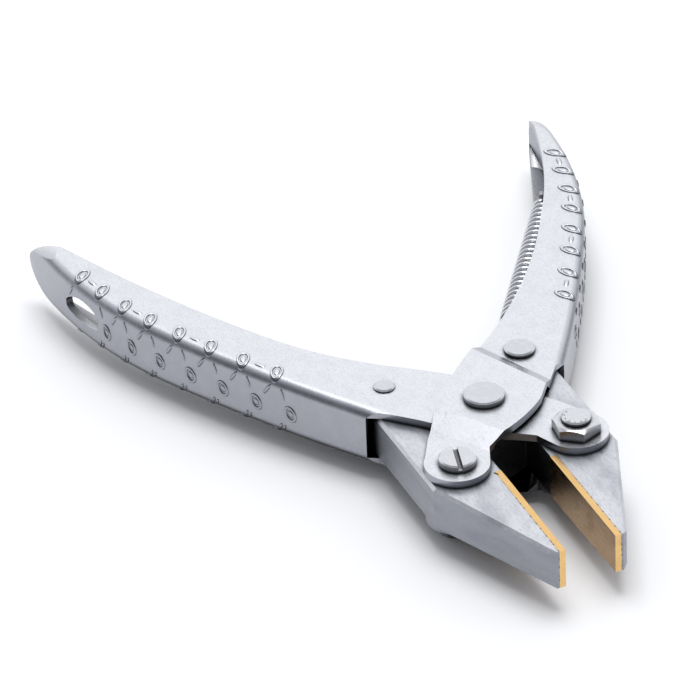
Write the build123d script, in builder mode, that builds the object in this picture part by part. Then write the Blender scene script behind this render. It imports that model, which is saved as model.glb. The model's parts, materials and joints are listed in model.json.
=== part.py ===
"""Parallel-action flat-nose pliers with brass-lined jaws, shown with the handles fully open.

+X runs from the main pivot to the jaw tips and +Y to the right-hand jaw.
The origin is on the main pivot's axis, at the face of the lower main rivet's head,
which is the lowest point of the tool. The left-hand half of the tool is the same as the
right-hand half, turned over about the X axis. Each handle is one pressing with a stepped
plate, which lies outside the other handle's flat plate.
"""
import os
from math import asin, atan2, cos, degrees, hypot, radians, sin

from build123d import *

os.makedirs("parts", exist_ok=True)

# Driving dimensions, in millimetres and degrees.
jaw_thickness = 7.9
tip_thickness = 7.2
sheet = 1.35  # thickness of the pressed handles
side_gap = 0.05  # running gap between a jaw and a handle plate
joggle_rise = 1.88  # how far a stepped plate rises over the other handle's flat one
step_run = 1.85  # length of a step on its inner face, next to the other handle
front_run = 4.0  # length of its blended outer face beside the jaw screw
rear_run = 3.3  # and beside the slot rivet
step_lap = 2.5  # how far a step's plate laps onto the low plate
step_flat = 13.5  # how far it reaches across the raised part
crease_round = 0.6  # at the foot of a step
crest_round = 6.0  # at its top, outside

arm_x = 12.9  # pivot to jaw screw, and pivot to slot rivet, along X
screw_y = 10.8
rivet_y = 12.5
grip_gap = 8.9  # between the brass linings with the handles open

tip_x = 40.8
tip_y = 6.65  # outer corner of a jaw's tip
jaw_y = 16.7  # outer side of a jaw's body
shoulder_x = 16.3  # where a jaw begins to narrow
thinning_x = 19.0  # where a jaw begins to thin, just ahead of the handle's lobe
lining_rear_x = 16.1
lining = 1.1  # brass thickness
solder = 0.08
bare_step = 0.1  # the bare steel stands back from the brass by this much
jaw_bevel = 0.5
tip_round = 0.7

lobe_radius = 5.4
bend_radius = 1.9
swept_radius = 7.85  # a flat plate is cut back to clear the other handle's step
head_edge = 0.25  # chamfer on rivet and screw heads

main_head_radius = 3.45
main_head = 1.12
main_shank = 2.2
main_countersink = 3.0
screw_head_radius = 3.15
screw_head = 1.36
screw_shank = 2.43
screw_end = 2.9  # bolt end above the plate
nut_flats = 7.2
nut_height = 2.15
nut_corner = (0.45, 0.75)  # how far its corners are turned off, down and in
slot_width = 0.9
slot_depth = 0.75
slot_turn = -15.0
nut_turn = -7.0
large_rivet = (2.64, 0.82)  # radius and height of a slot rivet's formed head
small_rivet = (1.83, 0.45)
rivet_shank = 1.2
fit = 0.05  # radial running clearance
slot_fit = 0.08
seat_fit = 0.02  # clearance of a clamped or riveted shank

wire = 0.45  # spring wire radius
coil_radius = 2.5
coil_wall = 0.38
loop_radius = 1.95
lead_in = 1.0  # straight wire between a loop and the coil
tongue = (2.0, 1.2)  # height and thickness of the spring anchors
tongue_reach = (-1.6, 5.0)
hook_bore = 0.9
tail_radius = 1.7
tail_y = 9.4  # inner side of a jaw's tail
tail_step_x = -21.2  # behind this the tail is thinned for the spring
tail_tongue = 2.0
anchor = (-62.2, 41.2)  # spring loop on the handle
tail_hook = (-23.6, 15.1)  # spring loop on the jaw's tail
rear_loop_at = 0.45  # the rear loop's centre, ahead of the tongue's middle

# Levels above and below the middle plane.
half_jaw = jaw_thickness / 2
inside = half_jaw + side_gap
outside = inside + sheet
raised = outside + joggle_rise
mid = raised + main_head

# The linkage.
front_arm = hypot(arm_x, screw_y)
rear_arm = hypot(arm_x, rivet_y)
open_angle = degrees(atan2(screw_y, arm_x))
closed_angle = degrees(asin((screw_y - grip_gap / 2) / front_arm))
swing = open_angle - closed_angle  # each handle's turn from open to closed
rear_closed = degrees(atan2(rivet_y, arm_x)) - swing
closed_shift = (front_arm * cos(radians(closed_angle)) - arm_x, -grip_gap / 2)
slot_end = (
    -rear_arm * cos(radians(rear_closed)) - closed_shift[0],
    rear_arm * sin(radians(rear_closed)) - closed_shift[1],
)

spring_length = hypot(tail_hook[0] - anchor[0], tail_hook[1] - anchor[1])
spring_way = ((tail_hook[0] - anchor[0]) / spring_length, (tail_hook[1] - anchor[1]) / spring_length)
front_loop_at = spring_length - loop_radius
coil_start = rear_loop_at + loop_radius + lead_in
coil_end = front_loop_at - loop_radius - lead_in

# The handle's back, its web, in plan: a long flat arc and then a rounder one.
web_front = (-7.6, 18.3)
web_middle = (-26.0, 29.85)
web_bend = (-44.0, 39.6)
web_side = (-66.0, 46.8)
web_end = (-85.2, 48.45)
web_front_way = (-cos(radians(34.0)), sin(radians(34.0)))
web_bend_way = (-cos(radians(26.6)), sin(radians(26.6)))

# The flanges' free edges, on the handle's hollow side: narrow above and wide below.
edge_front = (-16.6, 6.9)
narrow_edge = [edge_front, (-34.0, 23.5), (-50.0, 33.95), (-66.0, 41.95), (-82.0, 46.7)]
wide_edge = [
    edge_front,
    (-24.5, 15.7),
    (-34.0, 23.15),
    (-50.0, 32.3),
    (-66.0, 40.0),
    (-74.0, 43.4),
    (-82.0, 46.6),
]

# The closed end is part of an ellipsoid, with its point at the handle's tip.
tip = (-85.3, 48.2)
tip_way = (cos(radians(21.1)), -sin(radians(21.1)))
dome_length = 57.0
dome_radius = 10.5
dome_run = 25.0  # the ellipsoid no longer cuts the handle this far ahead of the tip

# The head of the handle, which carries the pivot and the jaw screw's lobe.
lobe = (arm_x, -screw_y)
lobe_start = (9.2, -15.0)
lobe_leave = (15.5, -6.05)
throat_corner = (11.4, -4.3)
window_corner = (-6.4, 16.2)

# The two steps of the stepped plate: a point on each and the way it runs.
rear_step = (-15.4, 7.65)
rear_step_way = (0.912, 0.410)
front_step = (2.0, -11.05)
front_step_way = (0.848, 0.530)

turning_axis = Axis((0, 0, mid), (1, 0, 0))


def spot(point, height=0.0):
    """A plan point at a height above the middle plane."""
    return (point[0], point[1], mid + height)


def level(height):
    """A horizontal plane at a height above the middle plane."""
    return Plane.XY.offset(mid + height)


def turned_over(block):
    """The left-hand copy of a right-hand part."""
    return block.part.rotate(turning_axis, 180)


def along(start, end):
    """Unit vector from one plan point to another."""
    length = hypot(end[0] - start[0], end[1] - start[1])
    return ((end[0] - start[0]) / length, (end[1] - start[1]) / length)


def beside(point, direction, distance, ahead=0.0):
    """The plan point to the left of a direction by distance, and ahead along it."""
    return (
        point[0] - direction[1] * distance + direction[0] * ahead,
        point[1] + direction[0] * distance + direction[1] * ahead,
    )


def stepped_front():
    """The stepped plate's head from its throat to its window, inside a BuildLine."""
    front = ThreePointArc(throat_corner, (9.0, 1.6), (4.0, 8.6))
    Polyline(front @ 1, window_corner, web_front)


def flat_front():
    """The flat plate's head, inside a BuildLine.

    It is cut back to a circle about the pivot that clears the other handle's step.
    """
    swept = [(swept_radius * cos(radians(a)), -swept_radius * sin(radians(a))) for a in (-21.0, -39.5, -58.0)]
    ThreePointArc(throat_corner, (8.9, -0.6), swept[0])
    ThreePointArc(*swept)
    Polyline(swept[2], (-0.9, 10.9), window_corner, web_front)


def plate_outline(edge, front):
    """One flange and its head plate in plan, inside a BuildLine."""
    ThreePointArc(web_front, web_middle, web_bend)
    TangentArc(web_bend, web_end, tangent=web_bend_way)
    Polyline(web_end, beside(tip, tip_way, 0.0, -1.0), edge[-1])
    for rear in range(len(edge) - 1, 0, -2):
        ThreePointArc(edge[rear], edge[rear - 1], edge[rear - 2])
    ThreePointArc(edge[0], (-8.0, -2.4), (4.6, -12.4))
    Line((4.6, -12.4), lobe_start)
    lobe_far = beside(lobe, (1.0, 0.0), -0.436 * lobe_radius, 0.9 * lobe_radius)
    ThreePointArc(lobe_start, lobe_far, lobe_leave)
    Line(lobe_leave, throat_corner)
    front()


def flat_plate(low, edge, front):
    """Half of the uncut channel: a block as high as one half, from a level up."""
    with BuildPart() as half:
        with BuildSketch(level(low)):
            with BuildLine():
                plate_outline(edge, front)
            make_face()
        extrude(amount=outside)
    return half.part


def behind_web(cut, window):
    """Plan of the space on the hollow side of the web, set in by cut, inside a BuildLine.

    With a window the space also runs out past the web's front end.
    """
    web_middle_way = along(web_front, web_bend)
    front = beside(web_front, web_front_way, cut)
    bend = beside(web_bend, web_bend_way, cut)
    end = (web_end[0], web_end[1] - cut)
    ThreePointArc(front, beside(web_middle, web_middle_way, cut), bend)
    rear = TangentArc(bend, end, tangent=web_bend_way)
    past_rear = rear @ 1 + (rear % 1) * 12
    Line(rear @ 1, past_rear)
    if window:
        past_front = [(40.0, 30.0), beside(front, web_front_way, -6 * sheet)]
    else:
        past_front = [beside(front, web_front_way, 0.0, -30.0)]
    Polyline(past_rear, (-97.0, -30.0), (40.0, -30.0), *past_front, front)


def dome_room(skin):
    """All the space ahead of the handle's domed end, set in by a skin."""
    centre = beside(tip, tip_way, 0.0, dome_length)
    rearward = (-tip_way[0], -tip_way[1], 0)
    with BuildPart() as room:
        with BuildSketch(Plane(origin=spot(centre), x_dir=rearward, z_dir=(0, 0, 1))):
            with BuildLine():
                point = (dome_length - skin, 0)
                side = (0, dome_radius - skin)
                EllipticalCenterArc((0, 0), point[0], side[1], start_angle=0, arc_size=90)
                Polyline(side, (0, 0), point)
            make_face()
        revolve(axis=Axis(spot(centre), rearward), revolution_arc=360)
        with BuildSketch(Plane(origin=spot(beside(tip, tip_way, 0.0, dome_run)), z_dir=(*tip_way, 0))):
            Rectangle(100, 100)
        extrude(amount=120)
    return room.part


def block_with_bends():
    """A block as high as the channel, whose far side is the web with its rounded bends."""
    with BuildPart() as block:
        with BuildSketch(level(-outside)):
            with BuildLine():
                behind_web(0.0, False)
            make_face()
        extrude(amount=2 * outside)
        ahead_of_web = beside(web_front, web_front_way, 0.0, -15.0)
        behind_tip = beside(web_end, tip_way, 0.0, -5.0)
        bends = [
            block.edges().sort_by_distance(Vector(*spot(point, height)))[0]
            for height in (outside, -outside)
            for point in (web_middle, web_side, ahead_of_web, behind_tip)
        ]
        fillet(bends, bend_radius)
    return block.part


def channel_space():
    """The hollow between the flanges, which runs out past their edges."""
    with BuildPart() as space:
        with BuildSketch(level(-inside)):
            with BuildLine():
                behind_web(sheet, True)
            make_face()
        extrude(amount=2 * inside)
        add(dome_room(sheet), mode=Mode.INTERSECT)
    return space.part


def column(point, low, high, radius, top=None):
    """A round pin between two levels; its radius may change to another at the top."""
    with BuildPart() as pin:
        with BuildSketch(level(low)):
            with Locations(point):
                Circle(radius)
        if top is None:
            extrude(amount=high - low)
        else:
            with BuildSketch(level(high)):
                with Locations(point):
                    Circle(top)
            loft()
    return pin.part


def head(point, base, rise, radius):
    """A round fastener head between its base level and its bevelled face."""
    with BuildPart() as cap:
        add(column(point, min(base, base + rise), max(base, base + rise), radius))
        rim = cap.edges().filter_by(GeomType.CIRCLE).sort_by(Axis.Z)[-1 if rise > 0 else 0]
        chamfer(rim, head_edge)
    return cap.part


def spring_seat():
    """The tongue pressed in from the web that the spring's rear loop pulls on."""
    near, far = tongue_reach
    half = tongue[1] / 2
    with BuildPart() as seat:
        with BuildSketch(level(-tongue[0] / 2)):
            with BuildLine():
                corners = [(near, -half), (near, half), (far, half), (far, -half)]
                Polyline(*[beside(anchor, spring_way, reach, run) for reach, run in corners], close=True)
            make_face()
        extrude(amount=tongue[0])
    return seat.part


def seat_opening():
    """The leaf-shaped opening that the tongue leaves in the web."""
    slope = radians(12.0)
    outward = (sin(slope), cos(slope), 0)
    face = Plane(origin=spot((-65.0, 46.55)), x_dir=(-cos(slope), sin(slope), 0), z_dir=outward)
    with BuildPart() as opening:
        with BuildSketch(face):
            with BuildLine():
                ThreePointArc((4.6, -0.55), (0.6, -2.4), (-3.6, -2.05))
                ThreePointArc((-3.6, -2.05), (-4.8, -1.15), (-5.3, 0.15))
                Line((-5.3, 0.15), (-4.9, 1.45))
                ThreePointArc((-4.9, 1.45), (-0.6, 2.05), (4.0, 1.55))
                ThreePointArc((4.0, 1.55), (4.95, 0.55), (4.6, -0.55))
            make_face()
        extrude(amount=2.2, both=True)
    return opening.part


def ahead_of(vertex, point, ahead):
    """How far a vertex lies ahead of a plan point."""
    return (vertex.X - point[0]) * ahead[0] + (vertex.Y - point[1]) * ahead[1]


def stepped_sheet(point, way, run, low_side):
    """A strip of sheet with one step in it.

    The step runs along way through point. The sheet is low on one side of it and raised on
    the other; low_side is 1 when the low part lies to the left of way.
    """
    ahead = (way[1] * low_side, -way[0] * low_side, 0)
    side_view = Plane(origin=spot(point), x_dir=ahead, z_dir=(-way[0] * low_side, -way[1] * low_side, 0))
    slope = atan2(joggle_rise, step_run)
    lean = sheet * sin(slope) / (1 + cos(slope))
    crest = step_run + lean
    outer = [(-step_lap, outside), (0.0, outside), (run, raised), (step_flat, raised)]
    inner = [(step_flat, raised - sheet), (crest, raised - sheet), (lean, inside), (-step_lap, inside)]
    with BuildPart() as strip_part:
        with BuildSketch(side_view):
            with BuildLine():
                Polyline(*outer, *inner, close=True)
            face = make_face()
            for first, last, rounding in (
                (0.0, lean, crease_round),
                (crest, crest, crease_round),
                (run, run, crest_round),
            ):
                corners = face.vertices().filter_by(
                    lambda v: first - 0.01 < ahead_of(v, point, ahead) < last + 0.01
                )
                fillet(corners, rounding)
        extrude(amount=30, both=True)
    return strip_part.part


def raised_head():
    """The stepped plate's head, trimmed to its outline."""
    with BuildPart() as plate:
        add(stepped_sheet(rear_step, rear_step_way, rear_run, 1))
        add(stepped_sheet(front_step, front_step_way, front_run, -1))
        with BuildSketch(level(0)):
            with BuildLine():
                plate_outline(narrow_edge, stepped_front)
            make_face()
        extrude(amount=2 * raised, mode=Mode.INTERSECT)
    return plate.part


def step_gap():
    """The band of the upper flat plate that the stepped sheet replaces."""
    rear = beside(rear_step, rear_step_way, 0.8 * step_lap)
    front = beside(front_step, front_step_way, -0.8 * step_lap)
    band = [
        beside(rear, rear_step_way, 0.0, -30.0),
        beside(rear, rear_step_way, 0.0, 30.0),
        beside(front, front_step_way, 0.0, 30.0),
        beside(front, front_step_way, 0.0, -30.0),
    ]
    with BuildPart() as gap:
        with BuildSketch(level(0)):
            with BuildLine():
                Polyline(*band, close=True)
            make_face()
        extrude(amount=raised)
    return gap.part


def main_rivet_shank(straight_fit, flared_fit):
    """A main rivet's shank, straight in the stepped plate and flared in the flat one."""
    with BuildPart() as shank:
        add(column((0, 0), outside, raised, main_shank + straight_fit))
        add(column((0, 0), inside, outside, main_countersink + flared_fit, main_shank + flared_fit))
    return shank.part


def handle_bores():
    """The holes for the slot rivet and the jaw screw, and for both main rivets."""
    with BuildPart() as bores:
        add(column(lobe, -mid, mid, screw_shank + seat_fit))
        add(column((-arm_x, rivet_y), -mid, mid, rivet_shank + seat_fit))
        add(main_rivet_shank(seat_fit, seat_fit))
        add(main_rivet_shank(fit, fit).rotate(turning_axis, 180))
    return bores.part


def jaw_plan():
    """A jaw's outline in plan, inside a BuildLine, from its tip back to its tail."""
    bare_y = grip_gap / 2 + bare_step
    steel_y = grip_gap / 2 + lining + solder
    tail_way = (0.852, -0.523)
    tail_end = beside(tail_hook, tail_way, -tail_radius)
    tail_far = beside(tail_hook, tail_way, 0.0, -tail_radius)
    tail_out = (tail_hook[0], tail_hook[1] + tail_radius)
    slant = beside(tail_end, tail_way, 0.0, (tail_end[1] - tail_y) / -tail_way[1])
    Polyline(
        (lining_rear_x, bare_y),
        (lining_rear_x, steel_y),
        (tip_x, steel_y),
        (tip_x, tip_y - tip_round),
        (tip_x - 1.2 * tip_round, tip_y + 0.33 * tip_round),
        (shoulder_x, jaw_y),
        (tail_out[0] + 1.5, jaw_y),
        tail_out,
    )
    ThreePointArc(tail_out, tail_far, tail_end)
    Polyline(tail_end, slant, (-5.0, tail_y), (6.5, bare_y), (lining_rear_x, bare_y))


def jaw_room():
    """All the space behind a jaw's tip, as thick as the jaw and thinning to the tip."""
    half_tip = tip_thickness / 2
    with BuildPart() as room:
        with BuildSketch(Plane.XZ):
            with BuildLine():
                above = [(-40.0, mid + half_jaw), (thinning_x, mid + half_jaw), (tip_x, mid + half_tip)]
                below = [(x, 2 * mid - z) for x, z in reversed(above)]
                Polyline(*above, *below, close=True)
            make_face()
        extrude(amount=-30)
    return room.part


def jaw_slot():
    """The slot in a jaw's tail for the handle's rivet, along that rivet's path."""
    start = (-arm_x, rivet_y)
    travel = hypot(start[0] - slot_end[0], start[1] - slot_end[1])
    centre = ((start[0] + slot_end[0]) / 2, (start[1] + slot_end[1]) / 2)
    tilt = degrees(atan2(start[1] - slot_end[1], start[0] - slot_end[0]))
    with BuildPart() as slot:
        with BuildSketch(level(-half_jaw)):
            with Locations(centre):
                SlotCenterToCenter(travel, 2 * (rivet_shank + slot_fit), rotation=tilt)
        extrude(amount=jaw_thickness)
    return slot.part


def lining_strip(near, thickness):
    """A flat strip along a jaw's gripping side, from a distance from the middle outwards."""
    length = tip_x - lining_rear_x
    with BuildPart() as plate:
        with BuildSketch(level(-half_jaw)):
            with Locations((lining_rear_x + length / 2, near + thickness / 2)):
                Rectangle(length, thickness)
        extrude(amount=jaw_thickness)
        add(jaw_room(), mode=Mode.INTERSECT)
    return plate.part


def spring_plane(distance):
    """The plane across a spring at a distance from its anchor."""
    origin = spot(beside(anchor, spring_way, 0.0, distance))
    return Plane(origin=origin, x_dir=(0, 0, 1), z_dir=(*spring_way, 0))


def loop(distance):
    """A spring's end loop: a ring of wire standing on edge along the spring."""
    ring_plane = spring_plane(distance)
    with BuildPart() as ring:
        with BuildSketch(ring_plane):
            with Locations((loop_radius, 0)):
                Circle(wire)
        revolve(axis=Axis(ring_plane.origin, ring_plane.y_dir), revolution_arc=360)
    return ring.part


def spring_bar(start, end, outer, bore=0.0):
    """A round length of a spring along its line, between two distances from the anchor."""
    with BuildPart() as bar:
        with BuildSketch(spring_plane(start)):
            Circle(outer)
            if bore:
                Circle(bore, mode=Mode.SUBTRACT)
        extrude(amount=end - start)
    return bar.part


# The handle: its stepped plate is above and its flat plate below.
with BuildPart() as right_handle:
    add(flat_plate(0.0, narrow_edge, stepped_front))
    add(flat_plate(-outside, wide_edge, flat_front))
    add(block_with_bends(), mode=Mode.INTERSECT)
    add(dome_room(0.0), mode=Mode.INTERSECT)
    add(channel_space(), mode=Mode.SUBTRACT)
    add(step_gap(), mode=Mode.SUBTRACT)
    add(raised_head())
    add(seat_opening(), mode=Mode.SUBTRACT)
    add(spring_seat())
    add(handle_bores(), mode=Mode.SUBTRACT)

# The jaw: screw hole, slotted tail, thin hooked end and bevelled outer edges.
with BuildPart() as right_jaw:
    with BuildSketch(level(-half_jaw)):
        with BuildLine():
            jaw_plan()
        make_face()
    extrude(amount=jaw_thickness)
    add(jaw_room(), mode=Mode.INTERSECT)
    side = (0.0, jaw_y)
    taper_start = (shoulder_x + 1.0, jaw_y - 0.4)
    taper_middle = ((shoulder_x + tip_x) / 2, (jaw_y + tip_y) / 2)
    outer_edges = [
        right_jaw.edges().sort_by_distance(Vector(*spot(point, height)))[0]
        for height in (half_jaw, -half_jaw)
        for point in (side, taper_start, taper_middle)
    ]
    chamfer(outer_edges, jaw_bevel)
    add(jaw_slot(), mode=Mode.SUBTRACT)
    add(column((arm_x, screw_y), -half_jaw, half_jaw, screw_shank + fit), mode=Mode.SUBTRACT)
    add(column(tail_hook, -half_jaw, half_jaw, hook_bore), mode=Mode.SUBTRACT)
    for low in (-half_jaw, tail_tongue / 2):
        with BuildSketch(level(low)):
            with Locations((tail_step_x - 5.0, jaw_y - 5.0)):
                Rectangle(10.0, 14.0)
        extrude(amount=half_jaw - tail_tongue / 2, mode=Mode.SUBTRACT)

# Its brass lining and the film of solder behind it.
with BuildPart() as right_jaw_lining:
    add(lining_strip(grip_gap / 2, lining))

with BuildPart() as right_lining_solder:
    add(lining_strip(grip_gap / 2 + lining, solder))

# Two short rivets make the main pivot, so that wire can pass between them.
with BuildPart() as main_rivet_top:
    add(main_rivet_shank(0.0, 0.0))
    add(head((0, 0), raised, main_head, main_head_radius))

# The slotted screw that the left jaw turns on. Its far end stands out of the nut.
with BuildPart() as left_jaw_screw:
    add(column(lobe, -outside - screw_end, outside, screw_shank))
    chamfer(left_jaw_screw.edges().filter_by(GeomType.CIRCLE).sort_by(Axis.Z)[0], head_edge)
    add(head(lobe, outside, screw_head, screw_head_radius))
    with BuildSketch(level(outside + screw_head)):
        with Locations(lobe):
            Rectangle(4 * screw_head_radius, slot_width, rotation=slot_turn)
    extrude(amount=-slot_depth, mode=Mode.SUBTRACT)

# The nut on the right jaw's screw, a hexagon with its outer corners turned off.
with BuildPart() as nut_limit:
    nut_corner_radius = nut_flats / 2 / cos(radians(30))
    add(column((arm_x, screw_y), outside, outside + nut_height, nut_corner_radius))
    chamfer(nut_limit.edges().filter_by(GeomType.CIRCLE).sort_by(Axis.Z)[-1], *nut_corner)

with BuildPart() as right_jaw_nut:
    with BuildSketch(level(outside)):
        with Locations((arm_x, screw_y)):
            RegularPolygon(nut_flats / 2, 6, major_radius=False, rotation=nut_turn)
            Circle(screw_shank + seat_fit, mode=Mode.SUBTRACT)
    extrude(amount=nut_height)
    add(nut_limit.part, mode=Mode.INTERSECT)

# The rivet that slides in the jaw's tail, with a different head at each end.
with BuildPart() as right_slot_rivet:
    add(column((-arm_x, rivet_y), -outside, outside, rivet_shank))
    add(head((-arm_x, rivet_y), outside, large_rivet[1], large_rivet[0]))
    add(head((-arm_x, rivet_y), -outside, -small_rivet[1], small_rivet[0]))

# The return spring: its coil, as the sleeve that its turns fill, with its rear loop.
with BuildPart() as right_spring_coil:
    add(spring_bar(coil_start, coil_end, coil_radius, coil_radius - coil_wall))
    add(spring_bar(coil_start, coil_start + 2 * wire, coil_radius))
    add(spring_bar(coil_end - 2 * wire, coil_end, coil_radius))
    add(spring_bar(rear_loop_at + loop_radius, coil_start, wire))
    add(loop(rear_loop_at))

# Its front loop and the short straight wire that joins it to the coil.
with BuildPart() as right_spring_hook:
    add(spring_bar(coil_end, front_loop_at - loop_radius, wire))
    add(loop(front_loop_at))

# The left-hand half is the same, turned over.
with BuildPart() as left_handle:
    add(turned_over(right_handle))

with BuildPart() as left_jaw:
    add(turned_over(right_jaw))

with BuildPart() as left_jaw_lining:
    add(turned_over(right_jaw_lining))

with BuildPart() as left_lining_solder:
    add(turned_over(right_lining_solder))

with BuildPart() as main_rivet_bottom:
    add(turned_over(main_rivet_top))

with BuildPart() as right_jaw_screw:
    add(turned_over(left_jaw_screw))

with BuildPart() as left_jaw_nut:
    add(turned_over(right_jaw_nut))

with BuildPart() as left_slot_rivet:
    add(turned_over(right_slot_rivet))

with BuildPart() as left_spring_coil:
    add(turned_over(right_spring_coil))

with BuildPart() as left_spring_hook:
    add(turned_over(right_spring_hook))

pieces = {
    "right_handle": right_handle,
    "left_handle": left_handle,
    "right_jaw": right_jaw,
    "left_jaw": left_jaw,
    "right_jaw_lining": right_jaw_lining,
    "left_jaw_lining": left_jaw_lining,
    "right_lining_solder": right_lining_solder,
    "left_lining_solder": left_lining_solder,
    "main_rivet_top": main_rivet_top,
    "main_rivet_bottom": main_rivet_bottom,
    "right_jaw_screw": right_jaw_screw,
    "left_jaw_screw": left_jaw_screw,
    "right_jaw_nut": right_jaw_nut,
    "left_jaw_nut": left_jaw_nut,
    "right_slot_rivet": right_slot_rivet,
    "left_slot_rivet": left_slot_rivet,
    "right_spring_coil": right_spring_coil,
    "left_spring_coil": left_spring_coil,
    "right_spring_hook": right_spring_hook,
    "left_spring_hook": left_spring_hook,
}
for label, piece in pieces.items():
    piece.part.label = label
    export_step(piece.part, f"parts/{label}.step")

print("handle swing", round(swing, 3), "degrees each; jaw shift when closed", closed_shift)
for label in ("right_handle", "right_jaw", "left_jaw_screw", "right_spring_coil"):
    block = pieces[label].part
    print(label, round(block.volume, 1), "cubic mm in", len(block.solids()), "solid")
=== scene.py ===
"""Looks of the parallel-action pliers: satin pressed steel, brass-lined jaws and coil springs.

Everything is in metres in the CAD frame: the main pivot is at the origin, +X runs to the jaw
tips and +Y to the right-hand jaw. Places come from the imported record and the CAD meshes.
The left half of the tool is the right half turned over about the X axis, so each new piece
is made for the right half and a copy of it is turned over.
"""
import json
from math import cos, pi, radians, sin
from random import Random

import bpy
from mathutils import Matrix, Vector
from mathutils.bvhtree import BVHTree


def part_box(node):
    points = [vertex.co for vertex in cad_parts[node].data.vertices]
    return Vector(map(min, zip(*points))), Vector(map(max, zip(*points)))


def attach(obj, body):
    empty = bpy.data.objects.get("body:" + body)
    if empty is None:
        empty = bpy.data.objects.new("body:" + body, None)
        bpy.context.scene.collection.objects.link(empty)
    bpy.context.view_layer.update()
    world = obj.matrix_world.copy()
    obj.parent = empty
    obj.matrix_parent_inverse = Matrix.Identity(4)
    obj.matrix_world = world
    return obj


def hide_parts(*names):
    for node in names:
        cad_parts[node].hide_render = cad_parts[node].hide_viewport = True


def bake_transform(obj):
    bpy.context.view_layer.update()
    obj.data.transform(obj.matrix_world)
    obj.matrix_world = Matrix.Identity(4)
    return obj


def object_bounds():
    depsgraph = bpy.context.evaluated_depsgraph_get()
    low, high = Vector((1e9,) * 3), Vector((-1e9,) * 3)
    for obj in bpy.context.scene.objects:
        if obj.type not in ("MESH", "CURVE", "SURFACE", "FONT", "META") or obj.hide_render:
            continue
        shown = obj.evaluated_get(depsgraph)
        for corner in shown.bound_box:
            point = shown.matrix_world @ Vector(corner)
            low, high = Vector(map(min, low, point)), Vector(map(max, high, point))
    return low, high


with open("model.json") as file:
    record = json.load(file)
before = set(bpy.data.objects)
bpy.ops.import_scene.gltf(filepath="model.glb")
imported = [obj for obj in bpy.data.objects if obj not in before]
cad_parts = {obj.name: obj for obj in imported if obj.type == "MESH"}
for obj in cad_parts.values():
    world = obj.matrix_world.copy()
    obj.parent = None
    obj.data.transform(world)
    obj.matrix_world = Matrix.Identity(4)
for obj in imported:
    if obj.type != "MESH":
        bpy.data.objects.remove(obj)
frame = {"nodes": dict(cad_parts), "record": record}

cad_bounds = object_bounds()
nodes = frame["nodes"]
joints = {joint["name"]: joint for joint in frame["record"]["behaviour"]["joints"]}
mm = 0.001
mid = joints["handle_pivot"]["pos_m"][2]
turn_over = Matrix.Translation((0, 0, mid)) @ Matrix.Rotation(pi, 4, "X") @ Matrix.Translation((0, 0, -mid))

# Sizes of what the CAD leaves to this script.
edge_round = 0.09 * mm
lining_edge_round = 0.06 * mm
fastener_edge_round = 0.07 * mm
wire_radius = 0.45 * mm
coil_pitch = 1.475 * mm
ridge_height = 0.16 * mm

upright = (0, 0, 1)
# Painted shade: the colour the steel is darkened to deep inside the channels, within throat_reach.
painted_throat_shade = (0.008, 0.008, 0.010)  # how dark the steel gets deep inside the channels
throat_reach = 16 * mm


# ---------------------------------------------------------------- materials

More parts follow.
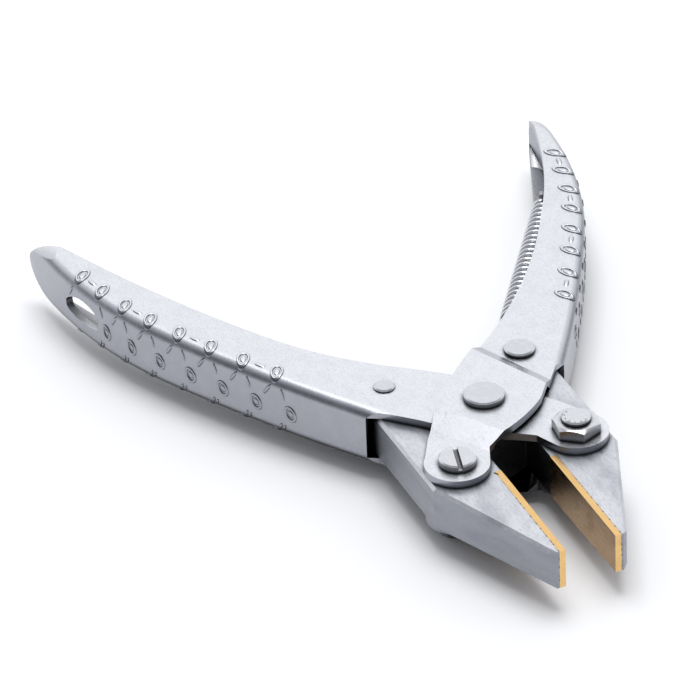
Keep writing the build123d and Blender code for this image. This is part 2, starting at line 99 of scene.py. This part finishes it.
class Finish:
    """A principled material whose patterns are laid out in millimetres on the piece."""

    def __init__(self, name, colour, roughness, metallic=1.0):
        self.material = bpy.data.materials.new(name)
        self.material.use_nodes = True
        self.tree = self.material.node_tree
        self.shader = self.tree.nodes["Principled BSDF"]
        self.shader.inputs["Metallic"].default_value = metallic
        self.place = self.node("ShaderNodeVectorMath", operation="SCALE")
        self.place.inputs["Scale"].default_value = 1 / mm
        self.join(self.node("ShaderNodeTexCoord").outputs["Object"], self.place.inputs["Vector"])
        self.colour = self.node("ShaderNodeRGB")
        self.colour.outputs[0].default_value = (*colour, 1.0)
        self.colour = self.colour.outputs[0]
        self.roughness = self.node("ShaderNodeValue")
        self.roughness.outputs[0].default_value = roughness
        self.roughness = self.roughness.outputs[0]
        self.height = None

    def node(self, kind, **settings):
        """A new node with its settings."""
        new = self.tree.nodes.new(kind)
        for key, value in settings.items():
            setattr(new, key, value)
        return new

    def join(self, source, target):
        """Links an output to an input."""
        self.tree.links.new(source, target)

    def noise(self, scale, detail=3.0, stretch=(1.0, 1.0, 1.0), low=0.3, high=0.7):
        """Noise from 0 to 1 with so many features to the millimetre, drawn out along an axis."""
        drawn = self.node("ShaderNodeVectorMath", operation="MULTIPLY")
        drawn.inputs[1].default_value = stretch
        self.join(self.place.outputs[0], drawn.inputs[0])
        noise = self.node("ShaderNodeTexNoise")
        noise.inputs["Scale"].default_value = scale
        noise.inputs["Detail"].default_value = detail
        self.join(drawn.outputs[0], noise.inputs["Vector"])
        spread = self.node("ShaderNodeMapRange")
        spread.inputs["From Min"].default_value = low
        spread.inputs["From Max"].default_value = high
        self.join(noise.outputs[0], spread.inputs["Value"])
        return spread.outputs[0]

    def around(self, centre, rings):
        """Turned rings about an upright axis, so many to the millimetre, from 0 to 1."""
        moved = self.node("ShaderNodeVectorMath", operation="SUBTRACT")
        moved.inputs[1].default_value = (centre[0] / mm, centre[1] / mm, 0)
        flat = self.node("ShaderNodeVectorMath", operation="MULTIPLY")
        flat.inputs[1].default_value = (1, 1, 0)
        length = self.node("ShaderNodeVectorMath", operation="LENGTH")
        wave = self.node("ShaderNodeTexNoise", noise_dimensions="1D")
        wave.inputs["Scale"].default_value = rings
        self.join(self.place.outputs[0], moved.inputs[0])
        self.join(moved.outputs[0], flat.inputs[0])
        self.join(flat.outputs[0], length.inputs[0])
        self.join(length.outputs["Value"], wave.inputs["W"])
        return wave.outputs[0]

    def tint(self, amount, colour, strength=1.0):
        """Where amount is 1 the colour turns to this one, as far as strength says."""
        share = self.node("ShaderNodeMath", operation="MULTIPLY")
        share.inputs[1].default_value = strength
        self.join(amount, share.inputs[0])
        mix = self.node("ShaderNodeMix", data_type="RGBA")
        self.join(share.outputs[0], mix.inputs["Factor"])
        self.join(self.colour, mix.inputs["A"])
        mix.inputs["B"].default_value = (*colour, 1.0)
        self.colour = mix.outputs["Result"]

    def roughen(self, amount, change):
        """Adds a share of amount, less its middle, to the roughness."""
        step = self.node("ShaderNodeMath", operation="MULTIPLY_ADD")
        step.inputs[1].default_value = change
        step.inputs[2].default_value = -change / 2
        self.join(amount, step.inputs[0])
        total = self.node("ShaderNodeMath", operation="ADD")
        self.join(step.outputs[0], total.inputs[0])
        self.join(self.roughness, total.inputs[1])
        self.roughness = total.outputs[0]

    def raise_by(self, amount, height):
        """Adds relief of a height in metres."""
        lift = self.node("ShaderNodeMath", operation="MULTIPLY")
        lift.inputs[1].default_value = height
        self.join(amount, lift.inputs[0])
        if self.height is None:
            self.height = lift.outputs[0]
            return
        total = self.node("ShaderNodeMath", operation="ADD")
        self.join(self.height, total.inputs[0])
        self.join(lift.outputs[0], total.inputs[1])
        self.height = total.outputs[0]

    def painted_corner_shade(self, colour, reach, strength, open_share=0.75, closed_share=0.25):
        """Paints shade into corners and joints within a reach in metres, by how much of the view is open.
        """
        hollow = self.node("ShaderNodeAmbientOcclusion", samples=8)
        hollow.inputs["Distance"].default_value = reach
        shade = self.node("ShaderNodeMapRange")
        shade.inputs["From Min"].default_value = open_share
        shade.inputs["From Max"].default_value = closed_share
        self.join(hollow.outputs["AO"], shade.inputs["Value"])
        self.tint(shade.outputs[0], colour, strength)

    def facing(self, way, none, full):
        """How far a surface faces along way or against it, spread to go from 0 to 1.

        none and full are sizes of the cosine between its normal and way.
        """
        geometry = self.node("ShaderNodeNewGeometry")
        dot = self.node("ShaderNodeVectorMath", operation="DOT_PRODUCT")
        dot.inputs[1].default_value = way
        size = self.node("ShaderNodeMath", operation="ABSOLUTE")
        spread = self.node("ShaderNodeMapRange")
        spread.inputs["From Min"].default_value = none
        spread.inputs["From Max"].default_value = full
        self.join(geometry.outputs["Normal"], dot.inputs[0])
        self.join(dot.outputs["Value"], size.inputs[0])
        self.join(size.outputs[0], spread.inputs["Value"])
        return spread.outputs[0]

    def done(self):
        """Links the patterns to the shader and returns the material."""
        self.join(self.colour, self.shader.inputs["Base Color"])
        self.join(self.roughness, self.shader.inputs["Roughness"])
        if self.height is not None:
            bump = self.node("ShaderNodeBump")
            bump.inputs["Distance"].default_value = 1.0
            self.join(self.height, bump.inputs["Height"])
            self.join(bump.outputs["Normal"], self.shader.inputs["Normal"])
        return self.material


def plated_steel(name, slopes_shaded):
    """The handles' satin nickel: an even grain, faint clouds and a few fine scratches.

    Shade is painted in by how faces turn: darker on faces a little off level, on the bends and on the webs,
    and on the pressed marks also on their slopes.
    """
    finish = Finish(name, (0.72, 0.73, 0.755), 0.33)
    clouds = finish.noise(0.16, 3.0, low=0.35, high=0.65)
    grain = finish.noise(2.6, 4.0)
    scratches = finish.noise(1.6, 2.0, (0.12, 1.0, 1.0), 0.62, 0.74)
    finish.tint(clouds, (0.67, 0.68, 0.71), 0.8)
    finish.tint(grain, (0.78, 0.79, 0.81), 0.55)
    finish.tint(scratches, (0.56, 0.57, 0.60), 0.35)
    finish.roughen(clouds, 0.06)
    finish.roughen(grain, 0.10)
    finish.raise_by(grain, 0.0035 * mm)
    # Painted shade: faces a little off level, the bends and the webs are painted darker by how they face
    # the light.
    steps = finish.facing(upright, 0.96, 0.88)
    bends = finish.facing(upright, 0.86, 0.60)
    webs = finish.facing(upright, 0.45, 0.10)
    finish.tint(steps, (0.42, 0.43, 0.47), 0.55)
    finish.tint(bends, (0.11, 0.115, 0.135), 0.80)
    # Painted shade on the slopes of the pressed marks.
    if slopes_shaded:
        finish.tint(finish.facing(upright, 0.97, 0.80), (0.07, 0.075, 0.09), 0.85)
    finish.tint(webs, (0.38, 0.39, 0.425), 0.9)
    finish.tint(finish.noise(0.42, 5.0, low=0.46, high=0.66), (0.48, 0.49, 0.53), 0.13)
    finish.tint(finish.noise(2.9, 6.0, low=0.48, high=0.68), (0.40, 0.41, 0.45), 0.28)
    # Painted shade in corners and joints, and painted shade going to near black deep inside the channels.
    finish.painted_corner_shade((0.03, 0.03, 0.036), 1.1 * mm, 0.95, 0.90, 0.45)
    finish.painted_corner_shade(painted_throat_shade, throat_reach, 1.0, 0.56, 0.30)
    return finish.done()


def jaw_steel():
    """The jaws' tumbled steel: mottled, with grinding lines along the jaw."""
    finish = Finish("tumbled_jaw_steel", (0.60, 0.61, 0.64), 0.36)
    lines = finish.noise(3.2, 4.0, (0.06, 1.0, 1.0))
    mottle = finish.noise(0.55, 4.0, (0.6, 1.0, 1.0), 0.35, 0.68)
    pits = finish.noise(1.9, 2.0, low=0.70, high=0.78)
    finish.tint(mottle, (0.68, 0.69, 0.71), 0.7)
    finish.tint(lines, (0.50, 0.51, 0.55), 0.4)
    finish.tint(pits, (0.22, 0.22, 0.24), 0.6)
    finish.roughen(lines, 0.12)
    finish.roughen(mottle, 0.08)
    finish.raise_by(lines, 0.003 * mm)
    finish.raise_by(pits, -0.006 * mm)
    sides = finish.facing(upright, 0.75, 0.25)
    worn = finish.noise(2.8, 6.0, (0.4, 1.0, 1.0), 0.46, 0.70)
    streaks = finish.noise(0.22, 5.0, (0.35, 1.0, 1.6), 0.46, 0.66)
    # Painted shade: faces turned away from level are painted darker than the top.
    finish.tint(sides, (0.26, 0.27, 0.305), 0.88)
    finish.tint(worn, (0.34, 0.35, 0.38), 0.38)
    finish.tint(streaks, (0.20, 0.21, 0.245), 0.36)
    # Painted shade in corners and joints, and painted shade going to near black deep inside the channels.
    finish.painted_corner_shade((0.02, 0.02, 0.026), 1.1 * mm, 0.95, 0.88, 0.42)
    finish.painted_corner_shade(painted_throat_shade, throat_reach, 1.0, 0.56, 0.30)
    return finish.done()


def brass_strip():
    """The linings' milled brass: fine lines along the jaw and brown tarnish in clouds."""
    finish = Finish("milled_brass", (0.80, 0.54, 0.23), 0.34)
    lines = finish.noise(4.5, 3.0, (0.05, 1.0, 1.0))
    tarnish = finish.noise(0.35, 4.0, low=0.45, high=0.75)
    finish.tint(lines, (0.72, 0.45, 0.18), 0.6)
    finish.tint(tarnish, (0.62, 0.38, 0.16), 0.6)
    # Painted shade: the faces turned sideways, the grip faces among them, are painted dark brown.
    shaded_grip_faces = finish.facing((0, 1, 0), 0.7, 0.9)
    finish.tint(shaded_grip_faces, (0.30, 0.185, 0.10), 0.85)
    finish.roughen(lines, 0.12)
    finish.roughen(tarnish, 0.14)
    finish.raise_by(lines, 0.003 * mm)
    # Painted shade in the lining's corners and joints.
    finish.painted_corner_shade((0.16, 0.09, 0.04), 0.35 * mm, 0.6)
    return finish.done()


def solder_seam():
    """The seam behind a lining: grey solder with burnt flux along it."""
    finish = Finish("solder_and_flux", (0.34, 0.30, 0.25), 0.5, 0.7)
    flux = finish.noise(0.8, 3.0, low=0.45, high=0.60)
    finish.tint(flux, (0.030, 0.018, 0.012), 1.0)
    finish.roughen(flux, 0.25)
    finish.raise_by(finish.noise(3.0, 3.0), 0.01 * mm)
    return finish.done()


def flux_and_punch_shade():
    """Dark glassy spots of flux; the same dark material paints the shade in the punch marks."""
    finish = Finish("flux_and_punch_shade", (0.020, 0.012, 0.010), 0.45, 0.0)
    spots = finish.noise(4.0, 3.0)
    finish.tint(spots, (0.075, 0.040, 0.022), 0.8)
    finish.roughen(spots, 0.3)
    finish.raise_by(spots, 0.008 * mm)
    return finish.done()


def fastener_steel(name, colour, roughness, centre):
    """A plated rivet or screw: faint turned rings about its own axis, and small knocks."""
    finish = Finish(name, colour, roughness)
    rings = finish.around(centre, 5.0)
    knocks = finish.noise(1.4, 3.0, low=0.5, high=0.8)
    finish.tint(rings, tuple(0.82 * part for part in colour), 0.35)
    finish.tint(knocks, tuple(1.12 * part for part in colour), 0.6)
    finish.roughen(rings, 0.10)
    finish.roughen(knocks, 0.10)
    finish.raise_by(rings, 0.002 * mm)
    finish.raise_by(knocks, 0.012 * mm)
    # Painted shade: the sides of the heads and nuts are painted darker than their tops.
    sides = finish.facing(upright, 0.60, 0.15)
    finish.tint(sides, tuple(0.35 * part for part in colour), 0.9)
    # Painted shade round the heads, and painted shade going to near black deep inside the channels.
    finish.painted_corner_shade((0.015, 0.015, 0.018), 0.9 * mm, 1.0, 0.92, 0.52)
    finish.painted_corner_shade(painted_throat_shade, throat_reach, 1.0, 0.50, 0.28)
    return finish.done()


def spring_steel():
    """Bright drawn wire, with shade painted between its turns."""
    finish = Finish("bright_spring_wire", (0.70, 0.71, 0.73), 0.26)
    streaks = finish.noise(3.0, 3.0)
    finish.tint(streaks, (0.52, 0.53, 0.56), 0.6)
    finish.roughen(streaks, 0.14)
    finish.raise_by(streaks, 0.003 * mm)
    # Painted shade between the turns.
    finish.painted_corner_shade((0.03, 0.03, 0.035), 0.5 * mm, 0.9)
    return finish.done()


def centre_of(name):
    """The middle of a CAD node's box."""
    low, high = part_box(name)
    return (Vector(low) + Vector(high)) / 2


def dress(name, material, rounding=edge_round):
    """Gives a CAD node its material, and rounds its sharp edges."""
    node = nodes[name]
    node.data.materials.clear()
    node.data.materials.append(material)
    if rounding:
        bevel = node.modifiers.new("edge", "BEVEL")
        bevel.width = rounding
        bevel.segments = 2
        bevel.limit_method = "ANGLE"
        bevel.angle_limit = radians(32)
        bevel.harden_normals = True


plate = plated_steel("satin_nickel_plate", False)
pressed_plate = plated_steel("satin_nickel_marks", True)
flux = flux_and_punch_shade()
wire = spring_steel()
jaw_material = jaw_steel()
brass = brass_strip()
seam = solder_seam()
screw_colour = (0.66, 0.67, 0.69)
rivet_colour = (0.62, 0.63, 0.66)
for hand in ("right", "left"):
    dress(f"{hand}_handle", plate)
    dress(f"{hand}_jaw", jaw_material)
    dress(f"{hand}_jaw_lining", brass, lining_edge_round)
    dress(f"{hand}_lining_solder", seam, 0)
    for kind in ("screw", "nut"):
        part = f"{hand}_jaw_{kind}"
        nickel = fastener_steel(f"{part}_nickel", screw_colour, 0.28, centre_of(part))
        dress(part, nickel, fastener_edge_round)
    part = f"{hand}_slot_rivet"
    dress(part, fastener_steel(f"{part}_steel", rivet_colour, 0.33, centre_of(part)))
for part in ("main_rivet_top", "main_rivet_bottom"):
    dress(part, fastener_steel(f"{part}_steel", rivet_colour, 0.34, centre_of(part)))


# ------------------------------------------------------------- making pieces

def new_piece(name, vertices, faces, material):
    """A smooth mesh object with one material."""
    mesh = bpy.data.meshes.new(name)
    mesh.from_pydata([tuple(v) for v in vertices], [], faces)
    mesh.shade_smooth()
    mesh.materials.append(material)
    piece = bpy.data.objects.new(name, mesh)
    bpy.context.scene.collection.objects.link(piece)
    return piece


def pair(kind, vertices, faces, material):
    """A right-hand piece and its turned-over left-hand copy."""
    right = new_piece(f"right_{kind}", vertices, faces, material)
    left = new_piece(f"left_{kind}", [turn_over @ v for v in vertices], faces, material)
    return right, left


class Surface:
    """The outside of a CAD node, found by looking at it straight down, up or from a side."""

    def __init__(self, name):
        mesh = nodes[name].data
        self.tree = BVHTree.FromPolygons([v.co for v in mesh.vertices], [p.vertices for p in mesh.polygons])

    def facing(self, start, direction):
        """(point, normal) of the first surface from start along direction."""
        point, normal, _, _ = self.tree.ray_cast(Vector(start), Vector(direction))
        if point is None:
            return None
        return point, normal if normal.dot(Vector(direction)) < 0 else -normal

    def flange(self, x, y, up):
        """The upper (up = 1) or lower (up = -1) face at a plan point."""
        return self.facing((x, y, mid + up * 0.03), (0, 0, -up))

    def web(self, x, height):
        """The outer face of the right-hand web at a height above the middle."""
        return self.facing((x, 0.09, mid + height), (0, -1, 0))


# ------------------------------------------------- the handles' raised pattern

class Relief:
    """Raised marks pressed out of a surface, gathered into one mesh."""

    def __init__(self):
        self.vertices = []
        self.faces = []

    def mark(self, outline, rows, filled):
        """A closed raised mark.

        outline(turn, scale) gives (point, normal) on the surface at a part of a turn and at a
        scale of the mark's size. rows are its (scale, height) profile from the outside in.
        """
        steps = 40
        start = len(self.vertices)
        for scale, height in rows:
            for step in range(steps):
                found = outline(2 * pi * step / steps, scale)
                if found is None:
                    del self.vertices[start:]
                    return
                self.vertices.append(found[0] + found[1] * height)
        for row in range(len(rows) - 1):
            base = start + row * steps
            for step in range(steps):
                after = (step + 1) % steps
                self.faces.append((base + step, base + after, base + steps + after, base + steps + step))
        if filled:
            self.faces.append(tuple(range(start + (len(rows) - 1) * steps, start + len(rows) * steps)))


# Profiles of the raised marks: (share of the mark's size, height over the surface).
buried = -0.06 * mm
ring_rows = [
    (1.04, buried), (1.0, 0.0), (0.94, 0.9 * ridge_height), (0.90, ridge_height),
    (0.73, ridge_height), (0.69, 0.9 * ridge_height), (0.62, 0.0), (0.58, buried),
]
boss_rows = [(0.50, buried), (0.46, 0.0), (0.40, 0.5 * ridge_height), (0.15, 0.55 * ridge_height)]
dash_rows = [(1.1, buried), (1.0, 0.0), (0.72, 0.8 * ridge_height), (0.35, ridge_height)]


def oval(centre, long_way, half_long, half_short, surface_at, squareness=1.0):
    """An outline about a centre in a surface's own two coordinates.

    squareness under 1 fills the oval out towards a rounded bar.
    """
    across_way = (-long_way[1], long_way[0])

    def outline(turn, scale):
        along = half_long * scale * abs(cos(turn)) ** squareness * (1 if cos(turn) > 0 else -1)
        aside = half_short * scale * abs(sin(turn)) ** squareness * (1 if sin(turn) > 0 else -1)
        return surface_at(
            centre[0] + long_way[0] * along + across_way[0] * aside,
            centre[1] + long_way[1] * along + across_way[1] * aside,
        )

    return outline


def bar(start, end, half_width, surface_at):
    """The outline of a rounded bar between two points."""
    centre = ((start[0] + end[0]) / 2, (start[1] + end[1]) / 2)
    way = Vector((end[0] - start[0], end[1] - start[1]))
    half_long = way.length / 2
    return oval(centre, way.normalized(), half_long, half_width, surface_at, 0.7)


ring_count = 8
first_ring = -67.4 * mm
ring_step = 6.19 * mm
ring_inset = 2.2 * mm  # from the web's outer face to a ring's centre
ring_tilt = radians(59)
ring_size = (2.15 * mm, 1.15 * mm)
dash_size = (1.05 * mm, 0.43 * mm)
web_ring_place = (3.6 * mm, 0.5 * mm)
web_ring_size = (1.55 * mm, 1.0 * mm)
solid_web = 3.0 * mm  # a height above the opening, where the web is whole
web_strokes = [  # (ahead of the ring, height) of both ends, and the half width
    ((0.2 * mm, -4.1 * mm), (-1.1 * mm, -1.8 * mm), 0.27 * mm),
    ((2.0 * mm, -4.0 * mm), (2.6 * mm, -1.8 * mm), 0.18 * mm),
    ((1.6 * mm, 4.1 * mm), (2.0 * mm, 3.0 * mm), 0.2 * mm),
    ((2.3 * mm, 4.1 * mm), (2.7 * mm, 3.1 * mm), 0.16 * mm),
]


def ring(relief, centre, long_way, size, surface_at):
    """A raised oval ring with a low boss in it."""
    relief.mark(oval(centre, long_way, *size, surface_at), ring_rows, False)
    relief.mark(oval(centre, long_way, *size, surface_at), boss_rows, True)


def flange_pattern(relief, surface, places, up):
    """The chain of rings and dashes on the upper (up = 1) or lower (up = -1) flange."""

    def face_at(x, y):
        return surface.flange(x, y, up)

    centres = []
    for x in places:
        face, normal = surface.web(x, solid_web)
        out = Vector((normal.x, normal.y)).normalized()
        centres.append(Vector((x, face.y)) + out * -ring_inset)
    for index, centre in enumerate(centres):
        if index + 1 < ring_count:
            way = (centres[index + 1] - centre).normalized()
        inside = Vector((way.y, -way.x))
        long_way = inside * sin(ring_tilt) - way * cos(ring_tilt)
        ring(relief, centre, long_way, ring_size, face_at)
        if index % 2 == 0:
            middle = (centre + centres[index + 1]) / 2
            reach, half_width = dash_size
            dash = bar(middle - way * reach, middle + way * reach, half_width, face_at)
            relief.mark(dash, dash_rows, True)


def web_pattern(relief, surface, places):
    """The strokes and ovals on the web."""
    long_way = Vector((0.3, 1.0)).normalized()
    for index, x in enumerate(places):
        strokes = web_strokes if index else web_strokes[:2]
        for start, end, half_width in strokes:
            stroke = bar((x + start[0], start[1]), (x + end[0], end[1]), half_width, surface.web)
            relief.mark(stroke, dash_rows, True)
        if index:
            centre = (x + web_ring_place[0], web_ring_place[1])
            ring(relief, centre, long_way, web_ring_size, surface.web)


def make_pattern():
    """The pressed marks along both handles' bends."""
    surface = Surface("right_handle")
    relief = Relief()
    places = [first_ring + step * ring_step for step in range(ring_count)]
    for up in (1, -1):
        flange_pattern(relief, surface, places, up)
    web_pattern(relief, surface, places)
    pieces = pair("handle_pattern", relief.vertices, relief.faces, pressed_plate)
    for hand, piece in zip(("right", "left"), pieces):
        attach(piece, f"{hand}_handle")


make_pattern()


# -------------------------------------------------------------- coil springs

loop_steps = 34
turn_steps = 22
loop_gap = radians(28)  # left open in each end loop
lead_in = 1.0 * mm  # from the rear loop to the coil
wire_sides = 12


def reach_along(name, start, way):
    """How far a CAD node reaches along a line, as (nearest, furthest)."""
    places = [(v.co - start).dot(way) for v in nodes[name].data.vertices]
    return min(places), max(places)


def spring_path(start, way):
    """The wire's centre line from loop to loop, and where along it the coil and the hook start."""
    up = Vector((0, 0, 1))
    side = way.cross(up)
    rear, coil_far = reach_along("right_spring_coil", start, way)
    hook_near, front = reach_along("right_spring_hook", start, way)
    low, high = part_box("right_spring_coil")
    winding = (high[2] - low[2]) / 2 - wire_radius
    low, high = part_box("right_spring_hook")
    loop = (high[2] - low[2]) / 2 - wire_radius
    rear_centre = rear + wire_radius + loop
    front_centre = front - wire_radius - loop
    coil_near = rear_centre + loop + lead_in
    path = []

    def loop_point(centre, angle, shift):
        return start + way * (centre + loop * cos(angle)) + up * loop * sin(angle) + side * shift

    for step in range(loop_steps + 1):
        part = step / loop_steps
        angle = loop_gap + (2 * pi - loop_gap) * part
        path.append(loop_point(rear_centre, angle, (0.5 - part) * wire_radius))
    turns = round((coil_far - coil_near - 2 * wire_radius) / coil_pitch)
    steps = turns * turn_steps
    first, last = coil_near + wire_radius, coil_far - wire_radius
    for step in range(steps + 1):
        part = step / steps
        angle = 2 * pi * turns * part
        centre = start + way * (first + (last - first) * part)
        path.append(centre + up * winding * cos(angle) + side * winding * sin(angle))
    for step in range(loop_steps + 1):
        part = step / loop_steps
        angle = pi + (2 * pi - loop_gap) * part
        path.append(loop_point(front_centre, angle, (part - 0.5) * wire_radius))
    return path, coil_near, hook_near


def smoothed(path, passes):
    """The path with its corners eased."""
    points = [Vector(p) for p in path]
    for _ in range(passes):
        eased = [(a + 2 * b + c) / 4 for a, b, c in zip(points, points[1:], points[2:])]
        points = [points[0], *eased, points[-1]]
    return points


def tube(points, radius, sides):
    """Vertices and faces of a round wire along a path, closed at both ends."""
    vertices = []
    faces = []
    normal = Vector((0, 0, 1))
    count = len(points)
    for index, point in enumerate(points):
        way = (points[min(index + 1, count - 1)] - points[max(index - 1, 0)]).normalized()
        normal = (normal - way * normal.dot(way)).normalized()
        side = way.cross(normal)
        for step in range(sides):
            turn = 2 * pi * step / sides
            vertices.append(point + (normal * cos(turn) + side * sin(turn)) * radius)
    for row in range(count - 1):
        for step in range(sides):
            after = (step + 1) % sides
            base = row * sides
            faces.append((base + step, base + after, base + sides + after, base + sides + step))
    faces.append(tuple(reversed(range(sides))))
    faces.append(tuple(range((count - 1) * sides, count * sides)))
    return vertices, faces


def make_springs():
    """One wire from loop to loop in each handle."""
    start = Vector(joints["right_spring_swing"]["pos_m"])
    way = Vector(joints["right_spring_stretch"]["axis"])
    path, coil_near, hook_near = spring_path(start, way)
    vertices, faces = tube(smoothed(path, 2), wire_radius, wire_sides)
    pieces = pair("spring", vertices, faces, wire)
    for hand, piece in zip(("right", "left"), pieces):
        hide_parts(f"{hand}_spring_coil", f"{hand}_spring_hook")
        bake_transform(piece)


make_springs()


# ------------------------------------------------- flux spots and punch marks

class Spots:
    """Small uneven domes on a surface, gathered into one mesh."""

    def __init__(self, seed):
        self.random = Random(seed)
        self.vertices = []
        self.faces = []

    def add(self, point, normal, way, length, width, height):
        """One spot, as long as length along way."""
        steps = 11
        way = (way - normal * way.dot(normal)).normalized()
        side = normal.cross(way)
        start = len(self.vertices)
        jag = [self.random.uniform(0.7, 1.15) for _ in range(steps)]
        for scale, lift in ((1.0, -0.02 * mm), (0.75, 0.6 * height), (0.35, height)):
            for step in range(steps):
                turn = 2 * pi * step / steps
                out = way * length * cos(turn) + side * width * sin(turn)
                self.vertices.append(point + out * scale * jag[step] / 2 + normal * lift)
        for row in (0, 1):
            base = start + row * steps
            for step in range(steps):
                after = (step + 1) % steps
                self.faces.append((base + step, base + after, base + steps + after, base + steps + step))
        self.faces.append(tuple(range(start + 2 * steps, start + 3 * steps)))


seam_start = 6.0 * mm  # from the solder's rear end to its first spots
seam_spot = (0.24 * mm, 0.035 * mm)  # width and height
rear_spot = (0.45 * mm, 0.05 * mm)
tip_spot = (0.22 * mm, 0.03 * mm)
tip_heights = (-2.2, -1.0, 0.4, 1.5)  # in millimetres over the middle
punch_count = 7
punch_first = -150  # degrees
punch_step = 30
punch_radius = 1.95 * mm
punch_size = (0.42 * mm, 0.3 * mm, 0.015 * mm)  # length, width and height


def flux_spots(hand, seed, rear_mark):
    """Burnt flux along the seam between a brass lining and its jaw."""
    spots = Spots(seed)
    low, high = (Vector(corner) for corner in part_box(f"{hand}_lining_solder"))
    surface = Surface(f"{hand}_lining_solder")
    seam_y = (low.y + high.y) / 2
    along = Vector((1, 0, 0))
    place = low.x + seam_start
    while place < high.x - 1.0 * mm:
        place += spots.random.uniform(0.9, 2.6) * mm
        for up in (1, -1):
            found = surface.flange(min(place, high.x - 0.3 * mm), seam_y, up)
            length = spots.random.uniform(0.3, 1.0) * mm
            if found:
                spots.add(*found, along, length, *seam_spot)
    if rear_mark:
        found = surface.flange(low.x + 0.6 * mm, seam_y, 1)
        spots.add(*found, along + Vector((0, 0.8, 0)), 1.3 * mm, *rear_spot)
    front = Vector((high.x, seam_y, 0))
    for height in tip_heights:
        point = front + Vector((0, 0, mid + (height + spots.random.uniform(-0.5, 0.5)) * mm))
        length = spots.random.uniform(0.25, 0.6) * mm
        spots.add(point, along, Vector(upright), length, *tip_spot)
    piece = new_piece(f"{hand}_flux_spots", spots.vertices, spots.faces, flux)
    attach(piece, f"{hand}_jaw")


def punch_marks():
    """The ring of punch marks that locks each bolt's end in its nut, drawn as small dark domes: painted
    shade where the dents hold shade.
    """
    spots = Spots(5)
    low, high = (Vector(corner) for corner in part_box("right_jaw_screw"))
    centre = (low + high) / 2
    for step in range(punch_count):
        turn = radians(punch_first + punch_step * step)
        out = Vector((cos(turn), sin(turn), 0))
        point = Vector((centre.x, centre.y, high.z)) + out * punch_radius
        spots.add(point, Vector(upright), out, *punch_size)
    right, left = pair("bolt_punch_mark_shade", spots.vertices, spots.faces, flux)
    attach(right, "left_handle")
    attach(left, "right_handle")


flux_spots("right", 11, False)
flux_spots("left", 23, True)
punch_marks()


# ------------------------------------------------------- floor, light, camera

view_azimuth = radians(-22.549)
view_elevation = radians(33.421)
view_roll = radians(-2.159)
view_distance = 1.0349
view_target = Vector((-0.03263, -0.01024, 0.0088))
view_lens = 312.2  # in millimetres, on a 36 mm sensor
towards_camera = Vector((cos(view_azimuth), sin(view_azimuth), 0))
lamp_place = towards_camera * -0.12 + Vector((0, 0, 0.9))
lamp_target = Vector((-0.03, 0, 0))
lamp_side = 0.55
lamp_watts = 4.7

world_strength = 1.15
dim_side = towards_camera * 0.85 + Vector((0, 0, 0.5))


def make_lamp():
    """A soft square lamp overhead."""
    data = bpy.data.lights.new("overhead", "AREA")
    data.shape = "SQUARE"
    data.size = lamp_side
    data.energy = lamp_watts
    lamp = bpy.data.objects.new("overhead", data)
    bpy.context.scene.collection.objects.link(lamp)
    lamp.location = lamp_place
    lamp.rotation_euler = (lamp_target - lamp_place).to_track_quat("-Z", "Y").to_euler()


def make_floor():
    """A plain pale floor that the tool rests on."""
    half = 3.0
    height = cad_bounds[0][2] - 0.02 * mm
    corners = [(-half, -half, height), (half, -half, height), (half, half, height), (-half, half, height)]
    paint = Finish("white_floor", (0.97, 0.97, 0.972), 0.8, 0.0)
    paint.tint(paint.noise(0.05, 2.0), (0.955, 0.955, 0.96), 0.5)
    mesh = bpy.data.meshes.new("floor")
    mesh.from_pydata(corners, [], [(0, 1, 2, 3)])
    mesh.materials.append(paint.done())
    floor = bpy.data.objects.new("floor", mesh)
    bpy.context.scene.collection.objects.link(floor)


def make_world():
    """A studio: light behind the tool and dimmer behind the camera."""
    world = bpy.data.worlds.new("studio")
    bpy.context.scene.world = world
    world.use_nodes = True
    tree = world.node_tree
    place = tree.nodes.new("ShaderNodeTexCoord")
    facing = tree.nodes.new("ShaderNodeVectorMath")
    facing.operation = "DOT_PRODUCT"
    facing.inputs[1].default_value = dim_side.normalized()
    ramp = tree.nodes.new("ShaderNodeValToRGB")
    stops = [  # from the light side to the dim side
        (0.0, (0.97, 0.98, 1.0)),
        (0.45, (0.93, 0.94, 0.97)),
        (0.66, (0.36, 0.37, 0.40)),
        (1.0, (0.34, 0.35, 0.38)),
    ]
    while len(ramp.color_ramp.elements) < len(stops):
        ramp.color_ramp.elements.new(0.5)
    for element, (position, colour) in zip(ramp.color_ramp.elements, stops):
        element.position = position
        element.color = (*colour, 1.0)
    spread = tree.nodes.new("ShaderNodeMapRange")
    spread.inputs["From Min"].default_value = -1.0
    tree.links.new(place.outputs["Generated"], facing.inputs[0])
    tree.links.new(facing.outputs["Value"], spread.inputs["Value"])
    tree.links.new(spread.outputs[0], ramp.inputs[0])
    tree.links.new(ramp.outputs[0], tree.nodes["Background"].inputs["Color"])
    tree.nodes["Background"].inputs["Strength"].default_value = world_strength


def make_camera():
    """A long lens from the front left, a little above the tool."""
    back = Vector((
        cos(view_azimuth) * cos(view_elevation),
        sin(view_azimuth) * cos(view_elevation),
        sin(view_elevation),
    ))
    right = Vector((0, 0, 1)).cross(back).normalized()
    up = back.cross(right)
    turned_right = cos(view_roll) * right + sin(view_roll) * up
    turned_up = -sin(view_roll) * right + cos(view_roll) * up
    data = bpy.data.cameras.new("camera")
    data.lens = view_lens
    data.sensor_width = 36.0
    data.clip_start = 0.05
    data.clip_end = 20.0
    camera = bpy.data.objects.new("camera", data)
    bpy.context.scene.collection.objects.link(camera)
    turn = Matrix((turned_right, turned_up, back)).transposed().to_4x4()
    camera.matrix_world = Matrix.Translation(view_target + view_distance * back) @ turn
    bpy.context.scene.camera = camera


make_floor()
make_world()
make_lamp()
make_camera()
bpy.context.scene.view_settings.view_transform = "Standard"
